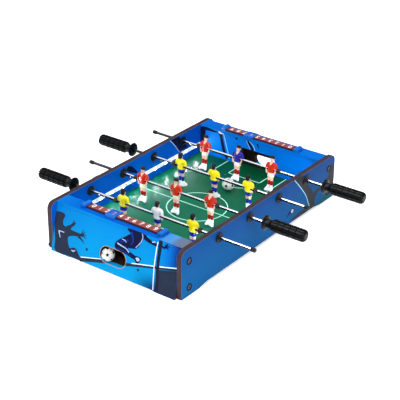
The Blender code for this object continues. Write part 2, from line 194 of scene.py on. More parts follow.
def mixed(made, first, second, factor=1, blend_type="MULTIPLY"):
    """Two colours mixed."""
    inputs = {"Factor": factor, "A": first, "B": second}
    item = add_node(made, "ShaderNodeMix", inputs, data_type="RGBA", blend_type=blend_type)
    return item.outputs["Result"]


def noise(made, scale, detail=3.0, stretch=None):
    """A noise value in the piece's own coordinates, stretched along an axis if asked."""
    where = add_node(made, "ShaderNodeTexCoord").outputs["Object"]
    if stretch:
        where = add_node(made, "ShaderNodeMapping", {"Vector": where, "Scale": stretch}).outputs["Vector"]
    inputs = {"Vector": where, "Scale": scale, "Detail": detail}
    return add_node(made, "ShaderNodeTexNoise", inputs).outputs["Fac"]


def ramp(made, factor, stops):
    """A colour ramp from (position, colour) pairs."""
    item = add_node(made, "ShaderNodeValToRGB", {"Fac": factor})
    elements = item.color_ramp.elements
    while len(elements) < len(stops):
        elements.new(0.5)
    for element, (position, colour) in zip(elements, stops):
        element.position = position
        element.color = colour
    return item.outputs["Color"]


def shade_of(colour, factor):
    return tuple(min(1, channel * factor) for channel in colour[:3]) + (1,)


def vary_colour(made, colour, amount, scale, stretch=None):
    """Links a mottled version of the colour, or of the socket given, to the base colour."""
    factor = noise(made, scale, stretch=stretch)
    if isinstance(colour, bpy.types.NodeSocket):
        grey = ramp(made, factor, [(0.3, shade_of(WHITE, 1 - amount)), (0.7, WHITE)])
        feed(made, "Base Color", mixed(made, colour, grey))
        return
    stops = [(0.3, shade_of(colour, 1 - amount)), (0.7, shade_of(colour, 1 + amount))]
    feed(made, "Base Color", ramp(made, factor, stops))


def vary_roughness(made, low, high, scale, stretch=None):
    """Links a roughness that wanders between the two values."""
    inputs = {"Value": noise(made, scale, stretch=stretch), "From Min": 0.3, "From Max": 0.7}
    inputs.update({"To Min": low, "To Max": high})
    feed(made, "Roughness", add_node(made, "ShaderNodeMapRange", inputs).outputs["Result"])


def add_bump(made, height, distance, strength):
    inputs = {"Height": height, "Distance": distance, "Strength": strength}
    feed(made, "Normal", add_node(made, "ShaderNodeBump", inputs).outputs["Normal"])


PRINT_ROUGHNESS = 0.36
PRINT_SHINE = 0.03  # specular level: the printed film hardly reflects


def moulded(name, colour, roughness, grain=1500, depth=0.05 * MM, mottle=0.08, **sockets):
    """Moulded or painted plastic: slight mottling, patchy gloss and a fine grain."""
    sockets.setdefault("Specular_IOR_Level", 0.2)
    made = plain(name, colour, roughness, **sockets)
    vary_colour(made, colour, mottle, 120)
    vary_roughness(made, roughness - 0.08, roughness + 0.08, 260)
    add_bump(made, noise(made, grain, 2), depth, 0.6)


def ink(name, colour):
    """Ink of the printed artwork: as matt as the print it lies on."""
    moulded(name, colour, PRINT_ROUGHNESS, depth=0.02 * MM, Specular_IOR_Level=PRINT_SHINE)


def fibreboard(name, colour):
    """A cut edge or raw face of fibreboard: fine fibres, dull."""
    made = plain(name, colour, 0.8, Specular_IOR_Level=0.1)
    vary_colour(made, colour, 0.3, 900, stretch=(1, 1, 3))
    add_bump(made, noise(made, 2500, 4), 0.15 * MM, 0.8)


def edge_band():
    """Brown-purple edge banding with faint lengthwise streaks."""
    colour = rgb(54, 43, 50)
    made = plain("edge_band", colour, 0.55, Specular_IOR_Level=0.12)
    vary_colour(made, colour, 0.22, 140, stretch=(0.15, 1, 1))
    vary_roughness(made, 0.4, 0.6, 300)
    add_bump(made, noise(made, 1800), 0.06 * MM, 0.6)


def printed(name, axis, half, stops, fade=((0, WHITE), (1, WHITE)), corner=None):
    """Printed film: a colour gradient from -half to half along one axis, shaded with height.

    The corner is a colour that fills the foot of the board beyond two fractions of the span.
    """
    made = plain(name, stops[0][1], PRINT_ROUGHNESS, Specular_IOR_Level=PRINT_SHINE)
    along = remap(made, coordinate(made, axis), -half, half)
    up = remap(made, coordinate(made, "Z"), CAD_BOX[0][2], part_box("side_panel_front")[1].z)
    colour = mixed(made, ramp(made, along, stops), ramp(made, up, fade))
    if corner:
        fill, start, finish = corner
        across = remap(made, along, start, finish, interpolation_type="SMOOTHSTEP")
        down = remap(made, up, 0.42, 0.02, interpolation_type="SMOOTHSTEP")
        share = add_node(made, "ShaderNodeMath", {0: across, 1: down}, operation="MULTIPLY")
        colour = mixed(made, colour, fill, share.outputs["Value"], "MIX")
    vary_colour(made, colour, 0.04, 22)
    vary_roughness(made, PRINT_ROUGHNESS - 0.05, PRINT_ROUGHNESS + 0.06, 60)
    add_bump(made, noise(made, 400, 2), 0.015 * MM, 0.4)


def chrome(name, bright, dark):
    """Polished steel with painted shade: dark on its underside and bright on top, with fine lines round the rod.
    """
    made = plain(name, bright, 0.12, Metallic=1.0)
    # Painted shade: the base colour follows the surface's facing, from the dark colour where it faces down to the
    # bright one where it faces up.
    normal = add_node(made, "ShaderNodeNewGeometry").outputs["Normal"]
    upward = add_node(made, "ShaderNodeSeparateXYZ", {"Vector": normal}).outputs["Z"]
    vary_colour(made, ramp(made, upward, [(0.3, dark), (0.62, bright)]), 0.04, 60)
    vary_roughness(made, 0.1, 0.2, 400, stretch=(1, 6, 1))
    add_bump(made, noise(made, 900, 2, stretch=(1, 12, 1)), 0.01 * MM, 0.4)


def field_green():
    """Glossy printed pitch, with painted shade darkening it towards the far goal."""
    made = plain("field_green", rgb(0, 116, 84), 0.24, Specular_IOR_Level=0.12)
    along = remap(made, coordinate(made, "X"), -218 * MM, 218 * MM)
    # Painted shade: the green darkens from the middle towards the far goal.
    stops = [(0, rgb(0, 96, 66)), (0.45, rgb(0, 96, 68)), (0.75, rgb(0, 80, 48)), (1, rgb(0, 66, 38))]
    vary_colour(made, ramp(made, along, stops), 0.06, 18)
    vary_roughness(made, 0.3, 0.38, 60)
    add_bump(made, noise(made, 500, 2), 0.01 * MM, 0.3)


def lamp_glow(name, colour, strength):
    plain(name, colour, 0.3, Emission_Color=colour, Emission_Strength=strength)


def end_print(name, end):
    """The end panels' print: bright azure, navy at the right-hand edge as each end is seen."""
    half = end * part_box("end_panel_left")[1].y
    azure = rgb(0, 143, 200)
    stops = [(0, rgb(0, 126, 188)), (0.3, azure), (0.84, azure)]
    stops += [(0.92, rgb(0, 112, 190)), (0.985, rgb(0, 52, 128))]
    fade = [(0, WHITE), (0.5, (1, 0.9, 1, 1)), (1, (1, 0.72, 0.96, 1))]
    printed(f"end_print_{name}", "Y", half, stops, fade, (rgb(0, 46, 100), 0.62, 0.86))


def side_prints():
    """The side panels' print: mid blue outside, deeper blue inside."""
    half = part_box("side_panel_front")[1].x
    stops = [(0, rgb(0, 90, 196)), (0.6, rgb(0, 94, 204)), (1, rgb(0, 76, 186))]
    printed("side_print_inner", "X", half, stops, [(0, (0.8, 0.85, 0.95, 1)), (0.6, WHITE), (1, WHITE)])
    stops = [(0, rgb(0, 88, 145)), (0.5, rgb(3, 82, 140)), (1, rgb(6, 76, 130))]
    fade = [(0, (0.6, 1.1, 1.1, 1)), (0.45, (1, 0.96, 1, 1))]
    fade += [(0.8, (2, 0.76, 0.96, 1)), (1, (2.2, 0.68, 0.92, 1))]
    printed("side_print_outer", "X", half, stops, fade)


def wall_and_rail_prints():
    """The print of the goal walls, and of the top rails, which differ from end to end."""
    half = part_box("goal_wall_left")[1].y
    stops = [(0, rgb(0, 104, 204)), (0.5, rgb(0, 110, 210)), (1, rgb(0, 112, 212))]
    printed("wall_print", "Y", half, stops, [(0, (0.7, 0.8, 0.95, 1)), (0.6, WHITE), (1, WHITE)])
    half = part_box("top_rail_left")[1].y
    grey, sky, blue = rgb(97, 101, 111), rgb(72, 131, 189), rgb(0, 84, 176)
    stops = [(0, grey), (0.07, rgb(83, 106, 139)), (0.1, sky), (0.15, rgb(61, 127, 192)), (0.19, blue)]
    printed("rail_print_left", "Y", half, stops + [(0.8, rgb(0, 86, 180)), (1, rgb(0, 104, 186))])
    stops = [(0, rgb(0, 98, 188)), (0.8, rgb(0, 96, 188)), (0.88, rgb(0, 86, 176)), (1, rgb(0, 92, 184))]
    printed("rail_print_right", "Y", half, stops)


def make_materials():
    """Every finish of the game."""
    edge_band()
    fibreboard("raw_board", rgb(52, 38, 28))
    fibreboard("cut_edge", rgb(176, 140, 100))
    fibreboard("hardboard", rgb(122, 88, 60))
    # The hardboard darkened as painted shade, for the insides of the ball troughs.
    fibreboard("trough_painted_shade", rgb(38, 26, 18))
    fibreboard("band_arris", rgb(106, 90, 92))
    field_green()
    ink("field_white", rgb(176, 240, 218))
    ink("art_navy", rgb(36, 44, 62))
    ink("art_ink", rgb(12, 20, 52))
    ink("art_frame", rgb(22, 30, 50))
    ink("art_indigo", rgb(24, 40, 130))
    ink("art_slate", rgb(48, 50, 56))
    ink("art_white", rgb(236, 240, 255))
    ink("art_sky", rgb(168, 190, 240))
    ink("art_mist", rgb(140, 200, 224))
    ink("art_teal", rgb(10, 84, 100))
    ink("art_grey", rgb(176, 184, 192))
    chrome("chrome", rgb(232, 234, 238), rgb(46, 46, 50))
    # A darker copy of the chrome: painted shade for the rod ends behind the rear panel.
    chrome("chrome_painted_shade", rgb(104, 104, 108), rgb(40, 40, 43))
    moulded("grip_black", rgb(7, 7, 8), 0.36, grain=1800, depth=0.02 * MM, Specular_IOR_Level=0.18)
    moulded("bushing_black", rgb(14, 14, 18), 0.35)
    moulded("cup_black", rgb(8, 8, 10), 0.45, Specular_IOR_Level=0.1)
    moulded("rubber_grey", rgb(46, 42, 41), 0.6, depth=0.06 * MM)
    moulded("cap_rubber", rgb(30, 29, 30), 0.5, depth=0.05 * MM)
    moulded("screw_steel", rgb(84, 84, 88), 0.4, Metallic=0.6)
    moulded("counter_cell", rgb(136, 66, 62), 0.45)
    # The strip's base: its dark colour is painted shade along the strip's lower edge.
    moulded("counter_base", rgb(58, 30, 44), 0.5)
    moulded("counter_blue", rgb(4, 94, 184), 0.3)
    moulded("counter_pane", rgb(8, 112, 224), 0.15, Alpha=0.28)
    moulded("digit_white", rgb(250, 246, 242), 0.4)
    # The strip's board glows though it is no lamp: painted light from the diodes around it.
    lamp_glow("strip_board_painted_glow", rgb(232, 242, 255), 0.5)
    moulded("diode_case", rgb(236, 238, 240), 0.4)
    lamp_glow("diode_glow", rgb(246, 250, 255), 560)
    moulded("battery_black", rgb(28, 28, 30), 0.5, depth=0.1 * MM)
    moulded("ball_white", rgb(212, 210, 204), 0.32, mottle=0.03, Coat_Weight=0.2)
    moulded("ball_seam", rgb(150, 148, 142), 0.5)
    moulded("ball_black", rgb(18, 18, 20), 0.3, Coat_Weight=0.4)
    moulded("skin", rgb(240, 196, 172), 0.4, mottle=0.05, Coat_Weight=0.2)
    moulded("hair", rgb(26, 24, 26), 0.4, grain=2600, depth=0.12 * MM)
    moulded("lips", rgb(190, 96, 84), 0.4)
    moulded("shoe_white", rgb(240, 242, 238), 0.35, Coat_Weight=0.3)
    moulded("cloth_red", rgb(204, 40, 8), 0.35, mottle=0.2, Coat_Weight=0.2)
    moulded("cloth_yellow", rgb(248, 226, 20), 0.35, Coat_Weight=0.35)
    moulded("cloth_blue", rgb(32, 26, 150), 0.35, Coat_Weight=0.35)
    moulded("cloth_white", rgb(232, 230, 226), 0.35, Coat_Weight=0.35)
    moulded("shorts_white", rgb(238, 228, 212), 0.38, Coat_Weight=0.3)
    moulded("shorts_blue", rgb(10, 34, 140), 0.38, Coat_Weight=0.3)
    moulded("sock_red", rgb(170, 26, 6), 0.4, Coat_Weight=0.15)
    moulded("sock_blue", rgb(14, 44, 156), 0.4, Coat_Weight=0.3)
    for name, end in ENDS.items():
        end_print(name, end)
    side_prints()
    wall_and_rail_prints()


# ---- mesh helpers ----------------------------------------------------------------------------


def link_mesh(name, bm, *finishes, smooth=None):
    """Makes an object of a bmesh. Faces turning less than the smooth angle, in degrees, shade smooth."""
    bmesh.ops.recalc_face_normals(bm, faces=bm.faces)
    mesh = bpy.data.meshes.new(name)
    bm.to_mesh(mesh)
    bm.free()
    for finish in finishes:
        mesh.materials.append(MATERIALS[finish])
    if smooth:
        mesh.shade_smooth()
        mesh.set_sharp_from_angle(angle=math.radians(smooth))
    made = bpy.data.objects.new(name, mesh)
    bpy.context.scene.collection.objects.link(made)
    return made


def piece(made, body, node, replace=False):
    """Sets what a finished piece rides on, and hides the node given when the piece stands in for it."""
    bpy.context.view_layer.update()
    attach(made, body)
    if replace:
        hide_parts(node)


def bevelled(made, width, segments=2, material_index=-1):
    modifier = made.modifiers.new("bevel", "BEVEL")
    modifier.width = width
    modifier.segments = segments
    modifier.limit_method = "ANGLE"
    modifier.angle_limit = math.radians(35)
    modifier.material = material_index
    modifier.harden_normals = True
    return made


def prism(outline, place, start, end, bm=None):
    """A solid of an outline of (u, v) points between two depths, put in space by place(u, v, w)."""
    bm = bm or bmesh.new()
    low = [bm.verts.new(place(u, v, start)) for u, v in outline]
    high = [bm.verts.new(place(u, v, end)) for u, v in outline]
    bm.faces.new(low)
    bm.faces.new(high)
    bridge(bm, low, high)
    return bm


def rectangle(left, low, right, high):
    return [(left, low), (right, low), (right, high), (left, high)]


def turns(start, finish, steps):
    """The cosine and sine of evenly spaced angles in degrees."""
    angles = [math.radians(start + (finish - start) * step / steps) for step in range(steps + 1)]
    return [(math.cos(angle), math.sin(angle)) for angle in angles]


def arc(centre, radius, start, end, steps):
    return [(centre[0] + radius * c, centre[1] + radius * s) for c, s in turns(start, end, steps)]


def circle(centre, radius, sides=24):
    return arc(centre, radius, 0, 360 - 360 / sides, sides - 1)


def smooth_outline(points, steps=5):
    """A closed smooth curve through the points."""
    count = len(points)
    out = []
    for index in range(count):
        a, b, c, d = (Vector(points[(index + shift) % count]) for shift in (-1, 0, 1, 2))
        for step in range(steps):
            t = step / steps
            out.append(spline_point(a, b, c, d, t))
    return out


def spline_point(a, b, c, d, t):
    """Catmull-Rom between b and c."""
    return 0.5 * (2 * b + (c - a) * t + (2 * a - 5 * b + 4 * c - d) * t**2 + (3 * b - a - 3 * c + d) * t**3)


def turned(profile, closed=False, material_index=0, bm=None):
    """A profile of (distance along Y, radius) points turned about the Y axis."""
    bm = bm or bmesh.new()
    rings = []
    for along, radius in profile:
        spots = circle((0, 0), radius, 48) if radius else [(0, 0)]
        rings.append([bm.verts.new((x, along, z)) for x, z in spots])
    pairs = list(zip(rings, rings[1:]))
    if closed:
        pairs.append((rings[-1], rings[0]))
    for first, second in pairs:
        bridge(bm, first, second, material_index)
    return bm


def bridge(bm, first, second, material_index=0):
    """Faces between two rings of vertices. Either may be a single point."""
    count = max(len(first), len(second))
    for step in range(count):
        following = (step + 1) % count
        if len(first) == 1:
            corners = (first[0], second[following], second[step])
        elif len(second) == 1:
            corners = (first[step], first[following], second[0])
        else:
            corners = (first[step], first[following], second[following], second[step])
        bm.faces.new(corners).material_index = material_index


def cut(target, other, *finishes):
    """Cuts the bmesh `other` out of the object."""
    cutter = link_mesh("cutter", other, *finishes)
    modifier = target.modifiers.new("cut", "BOOLEAN")
    modifier.operation = "DIFFERENCE"
    modifier.object = cutter
    graph = bpy.context.evaluated_depsgraph_get()
    result = bpy.data.meshes.new_from_object(target.evaluated_get(graph))
    target.modifiers.remove(modifier)
    result.name = target.name
    target.data = result
    bpy.data.objects.remove(cutter)


# ---- cabinet: the CAD boards with edges eased and faces painted --------------------------------


def ease(board, width, material_index=-1):
    """Welds a CAD mesh and rounds its edges a little."""
    board.modifiers.new("weld", "WELD").merge_threshold = 0.001 * MM
    bevelled(board, width, material_index=material_index)


def dress(name, pick, width=0.5 * MM, rim=None):
    """Gives a CAD board its finishes, chosen by each face's direction and centre, and eased edges."""
    board = frame["nodes"][name]
    choices = [pick(face.normal, face.center) for face in board.data.polygons]
    names = list(dict.fromkeys(choices + ([rim] if rim else [])))
    board.data.materials.clear()
    for choice in names:
        board.data.materials.append(MATERIALS[choice])
    for face, choice in zip(board.data.polygons, choices):
        face.material_index = names.index(choice)
    ease(board, width, names.index(rim) if rim else -1)


def dress_cabinet():
    for place, side in SIDES.items():
        low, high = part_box(f"side_panel_{place}")
        middle = (low.y + high.y) / 2

        def side_face(normal, centre):
            if abs(normal.y) < 0.5:
                return "edge_band"
            return "side_print_outer" if (centre.y - middle) * side > 0 else "side_print_inner"

        dress(f"side_panel_{place}", side_face, 0.6 * MM, rim="band_arris")
    for place, end in ENDS.items():
        slot_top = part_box(f"end_panel_{place}")[1].z * 0.6

        def end_face(normal, centre):
            if normal.x * end < -0.5:
                return "raw_board"
            if normal.x * end > 0.5 or normal.z > 0.5:
                return f"end_print_{place}"
            in_slot = abs(centre.y) < 40 * MM and 10 * MM < centre.z < slot_top
            return "raw_board" if in_slot else "edge_band"

        def wall_face(normal, centre):
            return "wall_print" if normal.x * end < -0.5 else "raw_board"

        def rail_face(normal, centre):
            if normal.x * end > 0.5:
                return f"end_print_{place}"
            return "wall_print" if normal.x * end < -0.5 else f"rail_print_{place}"

        dress(f"end_panel_{place}", end_face)
        dress(f"goal_wall_{place}", wall_face)
        dress(f"top_rail_{place}", rail_face, 0.6 * MM)


def dress_floors():
    """The pitch's board, and the bottom board, which is dark with painted shade where it makes the ball troughs.
    """

    def field_face(normal, centre):
        # Faces other than the pitch's top take the painted shade of the troughs.
        return "field_green" if normal.z > 0.5 else "trough_painted_shade"

    def base_face(normal, centre):
        return "hardboard" if normal.z < -0.5 else "trough_painted_shade"

    dress("playing_field", field_face, 0.3 * MM)
    dress("base_board", base_face, 0.3 * MM)


# ---- printed artwork -------------------------------------------------------------------------

INK = 0.06 * MM  # thickness of one printed layer


def slanted(end):
    """Places a point of the end artwork: u across, v up and w outwards from the slanted face."""
    board = frame["nodes"]["end_panel_left"].data
    foot = max(-vertex.co.x for vertex in board.vertices)
    high = max(vertex.co.z for vertex in board.vertices)
    top = max(-vertex.co.x for vertex in board.vertices if vertex.co.z > high - MM)

    def place(u, v, w):
        reach = foot + (top - foot) * v / high + w
        return (end * reach, end * u, v)

    return place


def side_plane(side, inner):
    """Places a point of a side panel's artwork: u along, v up and w out of the face."""
    low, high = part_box("side_panel_rear")
    face = low.y if inner else high.y
    out = -1 if inner else 1
    along = 1 if (side < 0) != inner else -1

    def place(u, v, w):
        return (along * u, side * (face + out * w), v)

    return place


def wall_plane(end):
    """Places a point of a goal wall's artwork, on the face towards the field."""
    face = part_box("goal_wall_right")[0].x

    def place(u, v, w):
        return (end * (face - w), -end * u, v)

    return place


def artwork(name, outlines, place, finish, layer, node, cutter=None):
    """Printed shapes on a board: each outline is a thin solid on the face, on its own layer."""
    bm = bmesh.new()
    for index, outline in enumerate(outlines):
        prism(outline, place, -0.05 * MM, INK * (layer + 0.15 * index), bm=bm)
    made = link_mesh(name, bm, finish)
    if cutter:
        cut(made, cutter)
    piece(made, "root", node)


def mm_points(points):
    return [(u * MM, v * MM) for u, v in points]


def disc(u, v, radius, sides=24):
    return circle((u * MM, v * MM), radius * MM, sides)


def blob(points, steps=5):
    return smooth_outline(mm_points(points), steps)


def limb(points, widths, steps=6):
    """A tapering bar along an open smooth curve, all in millimetres."""
    line = [Vector((u * MM, v * MM)) for u, v in points]
    padded = [2 * line[0] - line[1]] + line + [2 * line[-1] - line[-2]]
    curve, spans = [], []
    for index in range(len(line) - 1):
        for step in range(steps):
            curve.append(spline_point(*padded[index : index + 4], step / steps))
            spans.append(widths[index] + (widths[index + 1] - widths[index]) * step / steps)
    curve.append(line[-1])
    spans.append(widths[-1])
    left, right = [], []
    for index, (point, span) in enumerate(zip(curve, spans)):
        ahead = curve[min(index + 1, len(curve) - 1)] - curve[max(index - 1, 0)]
        across = Vector((-ahead.y, ahead.x)).normalized() * span * MM / 2
        left.append(point + across)
        right.append(point - across)
    return [tuple(point) for point in left + right[::-1]]


def band(points, width):
    """A bar of even width along an open smooth curve."""
    return limb(points, [width] * len(points))


def hand(u, v, heading, fingers, length, spread):
    """A palm at a point with fingers fanned about a heading in degrees."""
    outlines = [disc(u, v, 3.4, 12)]
    for finger in range(fingers):
        angle = math.radians(heading + spread * (finger / (fingers - 1) - 0.5))
        tip = (u + length * math.cos(angle), v + length * math.sin(angle))
        outlines.append(limb([(u, v), tip], [2.6, 1.4], 1))
    return outlines


def slot_outline(margin):
    """The ball slot's outline in an end panel, widened by the margin."""
    height, straight = 30 * MM, 15 * MM
    radius = height / 2 + margin
    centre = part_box("base_board")[1].z + height / 2 + 0.3 * MM
    return arc((straight, centre), radius, -90, 90, 24) + arc((-straight, centre), radius, 90, 270, 24)


def slot_cutter(end):
    """A solid right through the end panel, a hair larger than the ball slot."""
    low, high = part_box("end_panel_right")
    outline = slot_outline(0.2 * MM)
    return prism(outline, lambda u, v, w: (end * w, u, v), low.x - 10 * MM, high.x + 10 * MM)


def print_end(name, end):
    """Two footballers and a goal frame in silhouette: u runs to the right as the end is seen."""
    place = slanted(end)
    node = f"end_panel_{name}"
    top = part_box("top_rail_left")[1].z / MM - 0.9

    def shapes(part, outlines, finish, layer, at_slot=False):
        cutter = slot_cutter(end) if at_slot else None
        artwork(f"print_{name}_{part}", outlines, place, finish, layer, node, cutter)

    keeper = [blob([
        (-145.5, 68), (-144, 75.5), (-134, 77.5), (-126, 77), (-122.5, 73), (-126, 63), (-123, 55),
        (-112, 54), (-98, 51), (-84, 47), (-94, 43.5), (-108, 38), (-109, 30), (-103, 18), (-95, 21),
        (-88, 21), (-81, 14),
        (-76, 8), (-72, 2.8), (-100, 2.6), (-136, 2.6), (-140, 22), (-145.5, 48),
    ])]
    keeper.append(limb([(-114, 52), (-106, 58), (-101, 64)], [9, 6.5, 4.5]))
    keeper += hand(-101, 63, 62, 3, 8, 60)
    keeper.append(limb([(-98, 47), (-86, 48), (-78, 49)], [9, 7, 4]))
    keeper += hand(-78, 50, 30, 4, 11, 95)
    keeper.append(limb([(-86, 45), (-76, 41), (-69.5, 35.5)], [5, 3, 1]))
    shapes("keeper", keeper, "art_navy", 2)
    striker = [blob([
        (25, top), (32, 87), (30, 84), (18, 75), (6, 66), (0.5, 57), (4, 50), (16, 48), (30, 46.5),
        (45, 43.5),
        (52, 44), (50, 50), (36, 54), (31, 59), (38, 60.5), (48, 63), (55, 69), (58, 77), (62, 86), (67, top),
    ], 3)]
    boot = [(48, 49), (53, 51), (60, 50.5), (63, 49), (61, 44), (58, 39.5), (54, 38.6), (50, 42)]
    striker.append(blob(boot))
    striker.append(limb([(58, top - 3), (72, 86.5), (88, 83.5), (96, 84)], [8, 7, 5, 4]))
    striker.append(limb([(102, 86), (109, 83.5), (113, 87)], [3, 3.4, 3]))
    striker += hand(113, 87, 15, 3, 7, 100)
    shapes("striker", striker, "art_ink", 4)
    bar = limb([(-76, 4.6), (-24, 17.6), (30, 28.4), (60, 35.4), (145.5, 55)], [8, 7.4, 5.4, 4.6, 4.6])
    shapes("bar", [bar], "art_navy", 3.4, at_slot=True)
    upright = limb([(100.5, top), (101, 48), (104, 22), (106, 2.6)], [7.5, 6, 6, 6])
    shapes("upright", [upright], "art_frame", 6.4)
    shapes("net", [mm_points([(106, 2.6), (145.5, 2.6), (145.5, 52), (104, 42)])], "art_navy", 1)
    dots = [disc(-62, 27.5, 2.8, 12), disc(59.5, 27.5, 2.6, 12)]
    shapes("dots", dots, "art_navy", 2)
    gleams = [
        band([(-74, 9.4), (-50, 15), (-27, 20.6), (-20, 22.2)], 1.3),
        band([(44, 35), (60, 38.3), (93, 45.2)], 1.4),
        band([(105, 48), (124, 52.5), (145.5, 57.6)], 1.6),
        band([(94.6, 90), (93.4, 75), (93.6, 48), (95, 30), (98, 2.6)], 1.5),
    ]
    shapes("lines", gleams, "art_white", 7.4, at_slot=True)
    details = [
        limb([(6, 61), (16, 59), (27, 57), (35, 52)], [2.4, 2, 1.6, 1.6]),
        band([(15, 71.5), (23, 70.5), (26, 68)], 1.2),
        band([(58, top), (60.5, 88), (58.5, 80), (53, 71), (48, 65.4)], 1.3),
        blob([(51, 47), (55, 49), (60, 47.5), (59, 44), (55, 42.5)], 3), band([(82, 86), (88, 88)], 2),
        limb([(-134, 42), (-120, 42.5)], [1.6, 1.2], 1), limb([(-133, 41), (-128, 30)], [2.4, 0.6], 1),
        limb([(-98, 15), (-93, 14.6), (-88.5, 17.5)], [1, 2.2, 1]),
    ]
    shapes("details", details, "art_sky", 7.6)
    folds = [
        limb([(34, top - 4), (40, 76), (36, 66)], [5, 4, 2]),
        limb([(10, 66), (20, 68), (30, 73)], [2, 3, 2]),
        limb([(8, 52.5), (24, 50.5), (40, 47.5)], [1.6, 1.4, 1]),
    ]
    shapes("folds", folds, "art_indigo", 7)
    shapes("slot_rim", [slot_outline(1.1 * MM)], "cut_edge", 3.6, at_slot=True)


def print_side(name, side, inner):
    """A curved stanchion with a bright edge, its branch and the corner post; u runs along the panel."""
    place = side_plane(side, inner)
    node = f"side_panel_{name}"
    tag = f"print_{name}_{'inner' if inner else 'outer'}"
    if inner:
        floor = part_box("led_strip_rear")[1].z / MM + 2
        beam = mm_points([(104, 94), (119, 78), (133, floor), (166, floor), (150, 72), (132, 94)])
        edge = band([(103, 94), (118, 78), (134, floor)], 1.6)
        runner = limb([(-36, 84), (-24, 77), (-14, 70), (-4, 62)], [9, 13, 8, 3])
        artwork(f"{tag}_beam", [beam, runner], place, "art_ink", 1, node)
        artwork(f"{tag}_edge", [edge], place, "art_sky", 2, node)
        return
    trunk = blob([
        (104.5, 93.6), (119, 78.5), (136, 59), (149, 42), (160, 20), (165, 12), (173, 6.4), (186, 6),
        (183, 20),
        (191, 32), (206, 34), (206, 40), (188, 41.5), (177, 38), (172, 44), (160, 58), (146, 76), (133, 93.6),
    ])
    post = blob([
        (231, 74), (238, 75), (253, 71), (254, 26), (250, 16), (238, 20), (226, 24), (216, 30), (217, 40),
        (224, 47), (233, 53), (233, 63),
    ])
    corner = blob([(188, 5.6), (198, 11), (214, 13), (228, 22), (246, 20), (253, 14), (254, 2), (206, 1.4)])
    ground = limb([(92, 10), (112, 10.4), (136, 10.6), (160, 10.6), (174, 9.6)], [1, 6, 9, 9.6, 6])
    artwork(f"{tag}_corner", [corner], place, "art_teal", 1, node)
    artwork(f"{tag}_post", [post], place, "art_slate", 1.6, node)
    artwork(f"{tag}_trunk", [trunk, ground], place, "art_slate", 1.8, node)
    mark = [disc(99, 29, 6.2), limb([(80, 24), (87, 27), (94, 31)], [2, 4, 6])]
    artwork(f"{tag}_mark", mark, place, "art_ink", 1.2, node)
    gleams = [band([(104, 93.6), (119, 78), (136, 59), (149, 42), (160, 20), (163.5, 13)], 1.8)]
    artwork(f"{tag}_gleams", gleams, place, "art_mist", 2.2, node)
    artwork(f"{tag}_disc", [disc(99.5, 29, 4.2)], place, "art_grey", 2.6, node)


def print_wall(name, end):
    """Slanting goal-frame bars, a dark top corner and short dark marks under the top edge, on the face towards the
    field.
    """
    place = wall_plane(end)
    node = f"goal_wall_{name}"
    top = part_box(node)[1].z / MM - 0.6
    corner = [
        (-146, top), (-104, top), (-108, top - 3), (-129, top - 4), (-133, 84), (-134.5, 68), (-137, 52),
        (-142, 44), (-146, 42),
    ]
    dark = [
        limb([(-95, top), (-84, 47), (-76, 34)], [8, 8, 6]),
        limb([(-25, top), (-14, 76), (-10, 72.4)], [7, 6, 6]),
        blob(corner),
        limb([(-54, top), (-53, top - 4)], [7, 3], 1),
        limb([(-1, top), (1, top - 5), (4, top - 8)], [4, 3, 1.6], 2),
    ]
    gleams = [
        band([(-87, top), (-76, 54), (-71, 36)], 1.6),
        band([(-21, top), (-11, 82), (-6.5, 72.4)], 1.4),
        band([(-28.5, top), (-18.5, 72.6)], 1.1),
    ]
    artwork(f"print_wall_{name}_bars", dark, place, "art_ink", 1, node)
    artwork(f"print_wall_{name}_gleams", gleams, place, "art_mist", 2, node)
    cap = blob([(-99, 92), (-92, top - 0.2), (-88, 90), (-91, 87), (-98, 88)], 3)
    artwork(f"print_wall_{name}_caps", [cap], place, "art_white", 2.6, node)


def field_lines():
    """The pitch markings: centre line and circle, penalty and goal boxes, and arcs."""
    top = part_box("playing_field")[1].z
    wide = 1.9  # of a line, in millimetres like all the distances here
    goal_line, corner, arc_centre, arc_radius, spread = 207, 150, 147, 36, 50
    outlines = [band([(0, -146), (0, 146)], wide)]
    for end in ENDS.values():
        for box_x, box_y in ((125, 73), (160, 39)):
            for y in (box_y, -box_y):
                outlines.append(band([(end * goal_line, y), (end * corner, y), (end * box_x, y)], wide))
            outlines.append(band([(end * box_x, -box_y - wide / 2), (end * box_x, box_y + wide / 2)], wide))
        middle = 180 if end > 0 else 0
        curve = arc((end * arc_centre, 0), arc_radius, middle - spread, middle + spread, 12)
        outlines.append(band(curve, wide))
    bm = bmesh.new()
    for outline in outlines:
        prism(outline, lambda u, v, w: (u, v, top + w), -0.05 * MM, INK, bm=bm)
    centre_ring(bm, 60 * MM, wide * MM, top)
    piece(link_mesh("field_lines", bm, "field_white"), "root", "playing_field")


def centre_ring(bm, radius, width, top):
    """A flat ring about the middle of the field."""
    loops = []
    for height in (top - 0.05 * MM, top + INK):
        for reach in (radius - width / 2, radius + width / 2):
            loops.append([bm.verts.new((x, y, height)) for x, y in circle((0, 0), reach, 96)])
    low_in, low_out, high_in, high_out = loops
    for one, two in ((low_in, low_out), (high_in, high_out), (low_out, high_out), (low_in, high_in)):
        bridge(bm, one, two)


# ---- fittings --------------------------------------------------------------------------------

BORE = 3.3 * MM  # radius of the hole for a rod
SCREW_X = 232.5 * MM
SCREW_HEIGHTS = {"top": 70 * MM, "foot": 17.5 * MM}


